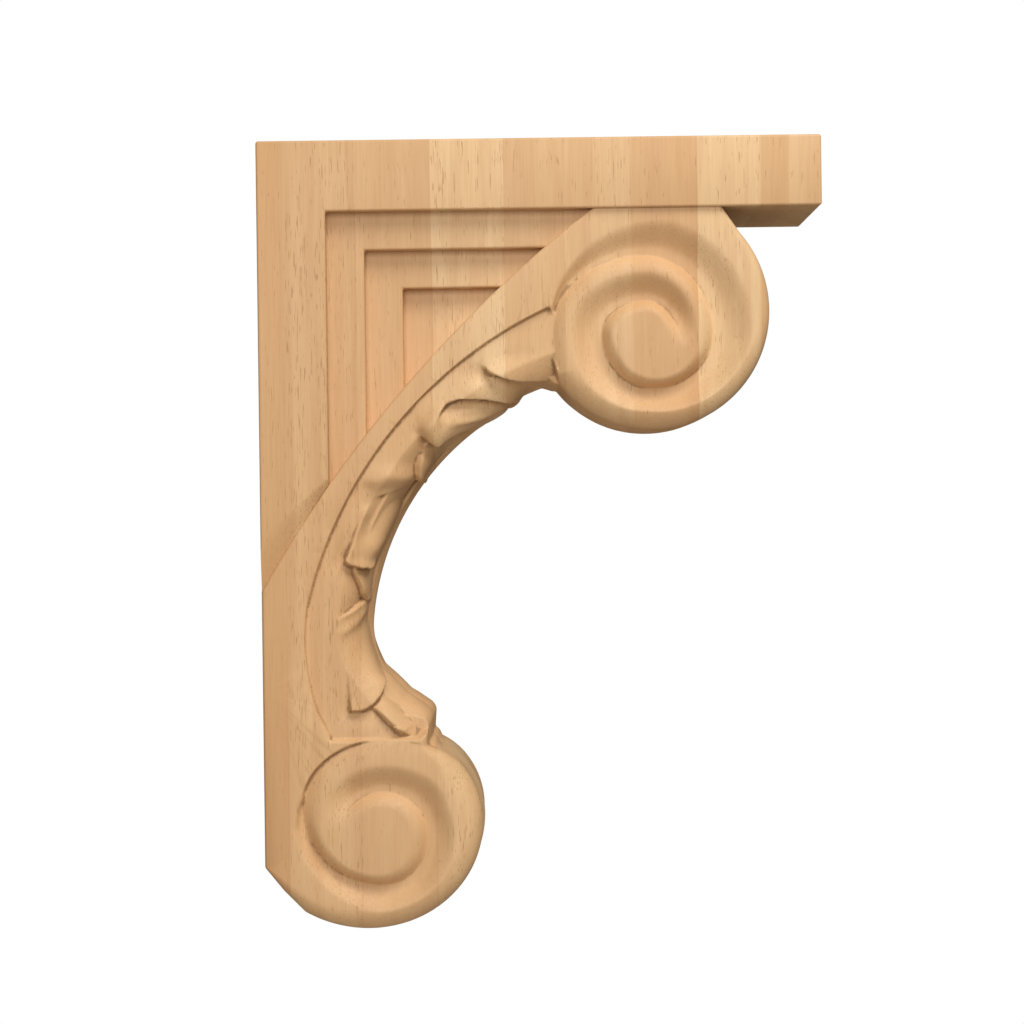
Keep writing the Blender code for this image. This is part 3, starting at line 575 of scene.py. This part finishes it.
def cutRelief(cuts, flat):
    s, rise = leafShape, np.zeros(len(flat))
    for kind, sizes, line in cuts.values():
        line = np.array(line)
        away = distances(line[:, :2])
        steps = np.linspace(0, away[-1], max(4, int(away[-1] / s["cutStep"])))
        track = np.stack([np.interp(steps, away, line[:, axis]) for axis in range(3)], axis=1)
        along = np.gradient(track[:, :2], axis=0)
        along /= np.linalg.norm(along, axis=1)[:, None]
        reach = s["cutReach"] * max(sizes[1], sizes[-1])
        low, high = track[:, :2].min(axis=0) - reach, track[:, :2].max(axis=0) + reach
        near = np.flatnonzero(((flat > low) & (flat < high)).all(axis=1))
        gap = flat[near, None, :] - track[None, :, :2]
        far = np.linalg.norm(gap, axis=2)
        least = far.min(axis=1)
        # each point answers to the whole stretch of the cut beside it, which keeps ends and bends soft
        weight = np.exp(-(far - least[:, None]) / (s["cutBlend"][0] + s["cutBlend"][1] * least[:, None]))
        weight /= weight.sum(axis=1)[:, None]
        side = ((gap[:, :, 0] * along[None, :, 1] - gap[:, :, 1] * along[None, :, 0]) * weight).sum(axis=1)
        strength = (smoothStep(track[:, 2])[None, :] * weight).sum(axis=1)
        beyond = np.maximum(least - np.abs(side), 0)
        rise[near] += cutProfile(kind, sizes, side, strength * np.exp(-(beyond / s["cutEnd"]) ** 2))
    return rise


def leafRelief(spots, flat):
    return cutRelief(leafCuts, flat) * smoothStep((spots[:, 1] - leafShape["plainFront"]) / leafShape["frontFade"])


def leafSection(step=0.2):
    c, top = carvingSizes, boardSizes["bandHalf"]
    flat = top - c["leafAcross"]
    turn = np.linspace(0, math.pi / 2, 400)
    points = [(0.0, level) for level in np.arange(0, flat, step)]
    points += [(c["leafIn"] * (1 - math.cos(t)), flat + c["leafAcross"] * math.sin(t)) for t in turn
               if flat + c["leafAcross"] * math.sin(t) < top - c["groundDrop"]]
    points += [(points[-1][0] + step * k, top - c["groundDrop"]) for k in range(1, 300)]
    points = np.array(points)
    return points, distances(points)


def leafSheet():
    s, c = leafShape, carvingSizes
    step = s["step"] * 1.0
    path, headings = frontPath(0.25)
    away = distances(path)
    along = np.arange(-s["sink"], away[-1] + s["sink"], step)
    lead, last = stepAlong(headings[0]), stepAlong(headings[-1])
    spot = np.stack([np.interp(along, away, path[:, 0]), np.interp(along, away, path[:, 1])], axis=1)
    before, after = np.where(along < 0, along, 0), np.where(along > away[-1], along - away[-1], 0)
    spot += before[:, None] * lead + after[:, None] * last
    smooth = np.interp(along, away, steadyTurns(headings))
    inward = np.stack([np.sin(smooth), np.cos(smooth)], axis=1)
    if inward[0] @ (np.array(c["frontCentre"]) - spot[0]) > 0:
        inward = -inward
    section, around = leafSection()
    limits = np.interp(along, *zip(*s["limits"]))
    across = np.linspace(-1, 1, 2 * int(limits.max() / step) + 1)
    reach = np.abs(across)[None, :] * limits[:, None]
    place = np.stack([np.interp(reach, around, section[:, i]) for i in (0, 1)], axis=2)
    slope = np.gradient(section, around, axis=0)
    width = s["slopeSamples"]      # the slope is averaged over these
    padded = [np.pad(slope[:, i], width // 2, mode="edge") for i in (0, 1)]
    slope = np.stack([np.convolve(column, np.ones(width) / width, "valid") for column in padded], axis=1)
    slope = np.stack([np.interp(reach, around, slope[:, i]) for i in (0, 1)], axis=2)
    slope /= np.linalg.norm(slope, axis=2)[:, :, None]
    grid = np.stack([np.broadcast_to(along[:, None], reach.shape), reach], axis=2).reshape(-1, 2)
    flat = (spot[:, None, :] + inward[:, None, :] * place[:, :, :1]).reshape(-1, 2)
    frontShare = 1 - smoothStep((grid[:, 1] - s["frontBlend"][0]) / s["frontBlend"][1])
    rise = leafRelief(grid, flat) - s["frontSunk"] * frontShare
    start, tail = (np.interp(grid[:, 1], *zip(*s[name])) for name in ("diveStart", "tailStart"))
    rise -= s["endDive"] * (np.maximum(0, -grid[:, 0] - start) + np.maximum(0, grid[:, 0] - away[-1] - tail))
    rise = rise.reshape(reach.shape)

    def layer(height):
        depth = place[:, :, 0] - slope[:, :, 1] * height
        side = (place[:, :, 1] + slope[:, :, 0] * height) * np.sign(across)[None, :]
        flat = spot[:, None, :] + inward[:, None, :] * depth[:, :, None]
        return np.stack([flat[:, :, 0], side, flat[:, :, 1]], axis=2).reshape(-1, 3)

    points = np.concatenate([layer(rise), layer(np.full_like(rise, -s["thickness"]))])
    rows, cols = len(along), len(across)
    index = np.arange(rows * cols).reshape(rows, cols)
    quads = np.stack([index[:-1, :-1], index[1:, :-1], index[1:, 1:], index[:-1, 1:]], axis=-1).reshape(-1, 4)
    half = rows * cols
    faces = [quads, quads[:, ::-1] + half]
    for border in (index[:, 0], index[:, -1][::-1], index[0][::-1], index[-1]):
        faces.append(np.stack([border[:-1], border[1:], border[1:] + half, border[:-1] + half], axis=1))
    return meshObject("leaf", points, np.concatenate(faces).tolist())


def newGroup(name, inputs, outputs):
    tree = bpy.data.node_groups.new(name, "ShaderNodeTree")
    for label, kind, value in inputs:
        socket = tree.interface.new_socket(label, in_out="INPUT", socket_type=kind)
        if value is not None:
            socket.default_value = value
    for label, kind in outputs:
        tree.interface.new_socket(label, in_out="OUTPUT", socket_type=kind)
    return tree, tree.nodes.new("NodeGroupInput"), tree.nodes.new("NodeGroupOutput")


def addNode(tree, kind, settings=None, **inputs):
    node = tree.nodes.new(kind)
    for key, value in (settings or {}).items():
        setattr(node, key, value)
    for key, value in inputs.items():
        socket = node.inputs[int(key[1:])] if key[0] == "i" and key[1:].isdigit() else node.inputs[key]
        if isinstance(value, bpy.types.NodeSocket):
            tree.links.new(value, socket)
        else:
            socket.default_value = value
    return node


def maths(tree, operation, first, second=0.0, clamp=False):
    return addNode(tree, "ShaderNodeMath", {"operation": operation, "use_clamp": clamp}, i0=first, i1=second).outputs[0]


def blendColour(tree, share, first, second, mode="MIX"):
    node = addNode(tree, "ShaderNodeMix", {"data_type": "RGBA", "blend_type": mode}, i0=share, i6=first, i7=second)
    return node.outputs[2]


leafRibs = {      # how far round the section, first and last place along the leaf, thickness
    "lines": ((0.0, -3.0, 169.0, 4.6), (9.5, 50.0, 171.0, 1.2), (-9.5, 50.0, 171.0, 1.2), (18.0, 112.0, 170.0, 1.1),
              (-18.0, 112.0, 170.0, 1.1)),
    "sides": 14, "sunk": 2.2, "sideSunk": 0.25, "taper": 0.2, "endShare": 0.15,
}


def ribTree(material):
    tree = bpy.data.node_groups.new("leaf ribs", "GeometryNodeTree")
    tree.interface.new_socket("Lines", in_out="INPUT", socket_type="NodeSocketGeometry")
    sides = tree.interface.new_socket("Sides", in_out="INPUT", socket_type="NodeSocketInt")
    taper = tree.interface.new_socket("Taper", in_out="INPUT", socket_type="NodeSocketFloat")
    tree.interface.new_socket("Ribs", in_out="OUTPUT", socket_type="NodeSocketGeometry")
    given, result = tree.nodes.new("NodeGroupInput"), tree.nodes.new("NodeGroupOutput")
    curve = addNode(tree, "GeometryNodeMeshToCurve", i0=given.outputs["Lines"])
    place = tree.nodes.new("GeometryNodeSplineParameter").outputs["Factor"]
    nearest = maths(tree, "MINIMUM", place, maths(tree, "SUBTRACT", 1.0, place))
    share = maths(tree, "DIVIDE", nearest, given.outputs["Taper"], clamp=True)
    share = maths(tree, "MULTIPLY_ADD", share, 1 - leafRibs["endShare"])
    share.node.inputs[2].default_value = leafRibs["endShare"]
    thick = addNode(tree, "GeometryNodeInputNamedAttribute", {"data_type": "FLOAT"}, Name="thickness").outputs[0]
    radius = maths(tree, "MULTIPLY", share, thick)
    sized = addNode(tree, "GeometryNodeSetCurveRadius", Curve=curve.outputs[0], Radius=radius)
    circle = addNode(tree, "GeometryNodeCurvePrimitiveCircle", Resolution=given.outputs["Sides"], Radius=0.001)
    tube = addNode(tree, "GeometryNodeCurveToMesh", Curve=sized.outputs[0], i1=circle.outputs[0])
    tube.inputs["Fill Caps"].default_value = True
    for socket in tube.inputs:
        if socket.name == "Scale":
            tree.links.new(radius, socket)
    real = addNode(tree, "GeometryNodeRealizeInstances", i0=tube.outputs[0])
    done = addNode(tree, "GeometryNodeSetMaterial", Geometry=real.outputs[0], Material=material)
    tree.links.new(done.outputs[0], result.inputs[0])
    return tree, {sides.identifier: leafRibs["sides"], taper.identifier: leafRibs["taper"]}


def leafRibLines(material):
    r, points, edges, sizes = leafRibs, [], [], []
    path, headings = frontPath(0.25)
    away, turn, lead = distances(path), steadyTurns(headings), stepAlong(headings[0])
    section, around = leafSection()
    for place, first, last, thick in r["lines"]:
        along = np.arange(first, last, 1.5)
        spot = np.stack([np.interp(along, away, path[:, axis]) for axis in (0, 1)], axis=1)
        spot += np.minimum(along, 0)[:, None] * lead
        inward = np.stack([np.sin(np.interp(along, away, turn)), np.cos(np.interp(along, away, turn))], axis=1)
        depth, level = (np.interp(abs(place), around, section[:, axis]) for axis in (0, 1))
        sunk = thick - r["sunk"] if place == 0 else thick * r["sideSunk"]
        flat = spot + inward * (depth + leafShape["frontSunk"] + sunk)
        points += [(out, math.copysign(level, place) if place else 0.0, drop) for out, drop in flat]
        edges += [(k, k + 1) for k in range(len(points) - len(flat), len(points) - 1)]
        sizes += [thick] * len(flat)
    data = bpy.data.meshes.new("ribs")
    data.from_pydata(toMetres(points).tolist(), edges, [])
    data.attributes.new("thickness", "FLOAT", "POINT").data.foreach_set("value", sizes)
    ribs = addObject("ribs", data)
    step = ribs.modifiers.new("ribs", "NODES")
    step.node_group, values = ribTree(material)
    for key, value in values.items():
        step[key] = value
    bpy.context.view_layer.update()
    ribs.data = bpy.data.meshes.new_from_object(ribs.evaluated_get(bpy.context.evaluated_depsgraph_get()))
    ribs.modifiers.clear()
    return ribs


print("leaf")
leaf = leafSheet()
joinSolid(carving, leaf, "UNION")
wood = bpy.data.materials.new("paleHardwood")
joinSolid(carving, leafRibLines(wood), "UNION")

finish = {"softPasses": 1, "softShare": 0.4, "triangles": 170000, "sharpAngle": 40.0}


def soften(piece, passes, share):
    bm = bmesh.new()
    bm.from_mesh(piece.data)
    for _ in range(passes):
        bmesh.ops.smooth_vert(bm, verts=bm.verts, factor=share, use_axis_x=True, use_axis_y=True, use_axis_z=True)
    bm.to_mesh(piece.data)
    bm.free()


def triangleCount(piece):
    return sum(len(p.vertices) - 2 for p in piece.data.polygons)


print("one carved solid")
bakeModifier(carving, "REMESH", mode="VOXEL", voxel_size=voxel)
soften(carving, finish["softPasses"], finish["softShare"])
bakeModifier(carving, "DECIMATE", ratio=min(1.0, finish["triangles"] / triangleCount(carving)))
joinSolid(carving, boards, "UNION")
corbel = carving
corbel.name = corbel.data.name = "carvedCorbel"
print("triangles", triangleCount(corbel))
for polygon in corbel.data.polygons:
    polygon.use_smooth = True
corbel.data.set_sharp_from_angle(angle=math.radians(finish["sharpAngle"]))

# Painted shade: the crease attribute measures how far each vertex sits in a hollow, and the wood darkens by it where
# shade falls in creases and recesses
paintedCreaseShade = {"passes": 2, "full": 0.35, "longest": 3.0, "largest": 4.0}      # bend per mm that is full, then limits in mm


# Stores the crease attribute, a concavity measure that the wood material turns into painted shade
def paintCreaseShade(piece):
    h, mesh = paintedCreaseShade, piece.data
    count, edges = len(mesh.vertices), len(mesh.edges)
    co, normal, ends = np.empty(count * 3), np.empty(count * 3), np.empty(edges * 2, dtype=np.int64)
    mesh.vertices.foreach_get("co", co)
    mesh.vertices.foreach_get("normal", normal)
    mesh.edges.foreach_get("vertices", ends)
    co, normal, ends = co.reshape(-1, 3) * 1000, normal.reshape(-1, 3), ends.reshape(-1, 2)
    far = np.linalg.norm(co[ends[:, 0]] - co[ends[:, 1]], axis=1) >= h["longest"]
    plain = np.zeros(count, dtype=bool)
    plain[ends[far].reshape(-1)] = True
    for polygon in mesh.polygons:
        if polygon.area * 1e6 > h["largest"]:       # corners of the large flat faces stay plain
            plain[list(polygon.vertices)] = True
    ends = np.concatenate([ends[~far], ends[~far][:, ::-1]])
    plain |= np.bincount(ends[:, 0], minlength=count) == 0
    degree = np.maximum(np.bincount(ends[:, 0], minlength=count), 1)

    def spread(values):
        return np.bincount(ends[:, 0], weights=values[ends[:, 1]], minlength=count) / degree

    squares = ((co[ends[:, 0]] - co[ends[:, 1]]) ** 2).sum(axis=1)
    length = np.bincount(ends[:, 0], weights=squares, minlength=count) / degree
    around = np.stack([spread(co[:, axis]) for axis in range(3)], axis=1)
    value = np.clip(((around - co) * normal).sum(axis=1) / np.maximum(length, 0.01) / h["full"], -1, 1)
    for _ in range(h["passes"]):
        value = np.where(plain, 0, (value + spread(value)) / 2)
    mesh.attributes.new("crease", "FLOAT", "POINT").data.foreach_set("value", value.astype(np.float32))


# the crease attribute below drives the painted shade in the wood's hollows
paintCreaseShade(corbel)

grain = {
    "base": (0.66, 0.395, 0.182), "light": (0.75, 0.51, 0.272), "plain": (0.565, 0.305, 0.132),
    # crease is the colour of painted shade laid into creases and hollows; pore and seam are the wood's own marks
    "pore": (0.36, 0.185, 0.07), "crease": (0.16, 0.07, 0.025), "seam": 0.12,
    # right edge of each stave in metres from the wall, then its lightness, streaks and pores
    "staves": ((0.0097, 0.12, 0.4, 0.3), (0.0375, 0.5, 0.8, 1.0), (0.0669, 0.42, 0.4, 0.3), (0.095, 0.9, 0.7, 0.9),
               (0.119, 0.50, 0.5, 0.5), (0.145, 0.62, 0.8, 0.7), (0.1705, 0.30, 0.5, 0.3), (0.195, 0.85, 0.7, 0.8),
               (0.206, 0.45, 0.5, 0.5), (0.25, 0.65, 0.7, 0.6)),
    "jump": 7.3, "seamWidth": 0.00035,
    "cloudScale": (45.0, 45.0, 9.0), "ringScale": (110.0, 60.0, 4.5), "fibreScale": (1500.0, 1500.0, 45.0),
    "poreScale": (2300.0, 2300.0, 150.0), "crowdScale": (300.0, 300.0, 16.0),
    "poreEdge": (0.735, 0.085, 0.22, 0.05),      # where pores start, less by the stave, less by crowding, softness
    "cloudShare": 0.35, "streakShare": 0.26, "fibreShare": 0.12, "poreShare": 0.6, "creaseShadeShare": 0.62,
    "roughness": (0.52, 0.66), "reflection": 0.35, "bump": (0.35, 0.00008),      # bump: strength and distance
}


def stavesGroup():
    outputs = [(label, "NodeSocketFloat") for label in ("Lightness", "Streaks", "Pores", "Seam")]
    tree, given, result = newGroup("glued staves", (("Position", "NodeSocketVector", None),),
                                   outputs + [("Shifted", "NodeSocketVector")])
    split = addNode(tree, "ShaderNodeSeparateXYZ", i0=given.outputs[0])
    across = maths(tree, "DIVIDE", split.outputs[0], grain["staves"][-1][0])
    ramp = addNode(tree, "ShaderNodeValToRGB", i0=across)
    ramp.color_ramp.interpolation = "CONSTANT"
    points = ramp.color_ramp.elements
    starts = [0.0] + [stave[0] / grain["staves"][-1][0] for stave in grain["staves"][:-1]]
    while len(points) < len(starts):
        points.new(0.5)
    for point, start, stave in zip(points, starts, grain["staves"]):
        point.position, point.color = start, (*stave[1:], 1.0)
    parts = addNode(tree, "ShaderNodeSeparateColor", i0=ramp.outputs[0])
    for index in range(3):
        tree.links.new(parts.outputs[index], result.inputs[index])
    nearest = None
    for stave in grain["staves"][:-1]:
        gap = maths(tree, "ABSOLUTE", maths(tree, "SUBTRACT", split.outputs[0], stave[0]))
        nearest = gap if nearest is None else maths(tree, "MINIMUM", nearest, gap)
    seam = ranged(tree, nearest, 0.0, grain["seamWidth"], 1.0, 0.0)
    tree.links.new(seam, result.inputs["Seam"])
    jump = maths(tree, "MULTIPLY", parts.outputs[0], grain["jump"])      # each stave has its own part of the grain
    shift = addNode(tree, "ShaderNodeCombineXYZ", i0=0.0, i1=jump, i2=jump)
    moved = addNode(tree, "ShaderNodeVectorMath", {"operation": "ADD"}, i0=given.outputs[0], i1=shift.outputs[0])
    tree.links.new(moved.outputs[0], result.inputs["Shifted"])
    return tree


def stretchedNoise(tree, position, scale, detail=2.0, rough=0.5, bend=0.0):
    placed = addNode(tree, "ShaderNodeMapping", {"vector_type": "POINT"}, i0=position, Scale=scale)
    noise = addNode(tree, "ShaderNodeTexNoise", i0=placed.outputs[0], Scale=1.0, Detail=detail, Roughness=rough,
                    Distortion=bend)
    return noise.outputs[0]


def ranged(tree, value, low, high, first=0.0, last=1.0):
    smooth = {"interpolation_type": "SMOOTHSTEP"}
    node = addNode(tree, "ShaderNodeMapRange", smooth, i0=value, i1=low, i2=high, i3=first,
                   i4=last)
    return node.outputs[0]


def grainGroup():
    inputs = (("Position", "NodeSocketVector", None), ("Streaks", "NodeSocketFloat", 0.6),
              ("Pores", "NodeSocketFloat", 0.5))
    outputs = [(label, "NodeSocketFloat") for label in ("Cloud", "Streak", "Fibre", "Pore")]
    tree, given, result = newGroup("upright grain", inputs, outputs)
    position, g = given.outputs[0], grain
    cloud = stretchedNoise(tree, position, g["cloudScale"], detail=1.0)
    rings = stretchedNoise(tree, position, g["ringScale"], detail=3.0, rough=0.5, bend=0.6)
    streak = maths(tree, "MULTIPLY", ranged(tree, rings, 0.36, 0.66), given.outputs["Streaks"])
    fibre = stretchedNoise(tree, position, g["fibreScale"], detail=2.0, rough=0.6)
    spots = stretchedNoise(tree, position, g["poreScale"], detail=1.0, rough=0.4)
    crowd = stretchedNoise(tree, position, g["crowdScale"], detail=1.0)
    level, byStave, byCrowd, softness = g["poreEdge"]
    edge = maths(tree, "SUBTRACT", level, maths(tree, "MULTIPLY", given.outputs["Pores"], byStave))
    edge = maths(tree, "SUBTRACT", edge, maths(tree, "MULTIPLY", maths(tree, "SUBTRACT", crowd, 0.5), byCrowd))
    pore = ranged(tree, spots, edge, maths(tree, "ADD", edge, softness))
    for index, value in enumerate((cloud, streak, fibre, pore)):
        tree.links.new(value, result.inputs[index])
    return tree


def makeWood(material):
    g = grain
    material.use_nodes = True
    tree = material.node_tree
    shader = tree.nodes["Principled BSDF"]
    place = addNode(tree, "ShaderNodeTexCoord").outputs["Object"]
    staves = addNode(tree, "ShaderNodeGroup", {"node_tree": stavesGroup()}, i0=place)
    marks = addNode(tree, "ShaderNodeGroup", {"node_tree": grainGroup()}, i0=staves.outputs["Shifted"],
                    Streaks=staves.outputs["Streaks"], Pores=staves.outputs["Pores"])
    # Painted shade: the crease attribute darkens the colour in hollows, creases and recesses
    crease = ranged(tree, addNode(tree, "ShaderNodeAttribute", {"attribute_name": "crease"}).outputs["Fac"], 0.04, 0.5)
    colour = blendColour(tree, staves.outputs["Lightness"], (*g["plain"], 1), (*g["light"], 1))
    cloud = ranged(tree, marks.outputs["Cloud"], 0.35, 0.65, 0.0, g["cloudShare"])
    colour = blendColour(tree, cloud, colour, (*g["base"], 1))
    streak = maths(tree, "MULTIPLY", marks.outputs["Streak"], g["streakShare"])
    colour = blendColour(tree, streak, colour, (*g["plain"], 1), "MULTIPLY")
    fibre = ranged(tree, marks.outputs["Fibre"], 0.35, 0.7, 0.0, g["fibreShare"])
    colour = blendColour(tree, fibre, colour, (*g["pore"], 1))
    # pores and glue seams are the wood's own; the crease mix is painted shade in the hollows
    for mask, share, tint in ((marks.outputs["Pore"], g["poreShare"], g["pore"]),
                              (staves.outputs["Seam"], g["seam"], g["pore"]), (crease, g["creaseShadeShare"], g["crease"])):
        colour = blendColour(tree, maths(tree, "MULTIPLY", mask, share), colour, (*tint, 1))
    tree.links.new(colour, shader.inputs["Base Color"])
    tree.links.new(ranged(tree, marks.outputs["Fibre"], 0.3, 0.7, *g["roughness"]), shader.inputs["Roughness"])
    height = maths(tree, "SUBTRACT", maths(tree, "MULTIPLY", marks.outputs["Fibre"], 0.5), marks.outputs["Pore"])
    bump = addNode(tree, "ShaderNodeBump", Strength=g["bump"][0], Distance=g["bump"][1], Height=height)
    tree.links.new(bump.outputs[0], shader.inputs["Normal"])
    shader.inputs["Specular IOR Level"].default_value = g["reflection"]


print("wood")
makeWood(wood)
corbel.data.materials.clear()
corbel.data.materials.append(wood)

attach(corbel, "root")
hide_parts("corbel")

studio = {
    "camera": (0.0975, -1.005, -0.004), "roll": 0.013, "lens": 87.9,
    "floorDrop": 0.9, "floorSize": 1.0, "floorTone": (0.93, 0.87, 0.78, 1),
    "key": ((0.75, -0.9, 1.4), (0.1, 0, 0), 0.9, 27.5),      # place, target, size, power
    "fill": ((0.0, -1.9, 0.45), (0.1, 0, 0), 1.0, 20.5),
    "skyTone": (1, 0.89, 0.77, 1), "skyStrength": 0.1,
}


def areaLight(name, place, target, size, power):
    data = bpy.data.lights.new(name, "AREA")
    data.shape, data.size, data.energy = "SQUARE", size, power
    lamp = addObject(name, data)
    lamp.location = place
    lamp.rotation_euler = (Vector(target) - Vector(place)).to_track_quat("-Z", "Y").to_euler()


print("studio")
floorMesh = bpy.data.meshes.new("floor")
half, low = studio["floorSize"], -studio["floorDrop"]
corners = [(-half, -half, low), (half, -half, low), (half, half, low), (-half, half, low)]
floorMesh.from_pydata(corners, [], [(0, 1, 2, 3)])
floor = addObject("floor", floorMesh)
paleFloor = bpy.data.materials.new("paleFloor")
paleFloor.use_nodes = True
paleFloor.node_tree.nodes["Principled BSDF"].inputs["Base Color"].default_value = studio["floorTone"]
floorMesh.materials.append(paleFloor)
floor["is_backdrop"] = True

for name in ("key", "fill"):
    areaLight(name, *studio[name])

world = bpy.data.worlds.new("studio")
bpy.context.scene.world = world
world.use_nodes = True
nodes, links = world.node_tree.nodes, world.node_tree.links
nodes["Background"].inputs["Color"].default_value = studio["skyTone"]
nodes["Background"].inputs["Strength"].default_value = studio["skyStrength"]
seen = nodes.new("ShaderNodeBackground")
seen.inputs["Color"].default_value = (1, 1, 1, 1)
seen.inputs["Strength"].default_value = 1.0
mix = nodes.new("ShaderNodeMixShader")
rays = nodes.new("ShaderNodeLightPath")
links.new(rays.outputs["Is Camera Ray"], mix.inputs[0])      # the camera sees white
links.new(nodes["Background"].outputs[0], mix.inputs[1])
links.new(seen.outputs[0], mix.inputs[2])
links.new(mix.outputs[0], nodes["World Output"].inputs["Surface"])
bpy.context.scene.view_settings.view_transform = "Standard"

cameraData = bpy.data.cameras.new("camera")
cameraData.lens = studio["lens"]
cameraData.sensor_width = 36
camera = addObject("camera", cameraData)
upright, roll = Matrix.Rotation(math.radians(90), 4, "X"), Matrix.Rotation(-studio["roll"], 4, "Z")
camera.rotation_euler = (upright @ roll).to_euler()
camera.location = studio["camera"]
bpy.context.scene.camera = camera

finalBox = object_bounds()
boxes = {"cad": cadBox, "visual": finalBox}
boxes = {label: [[float(v) for v in corner] for corner in box] for label, box in boxes.items()}
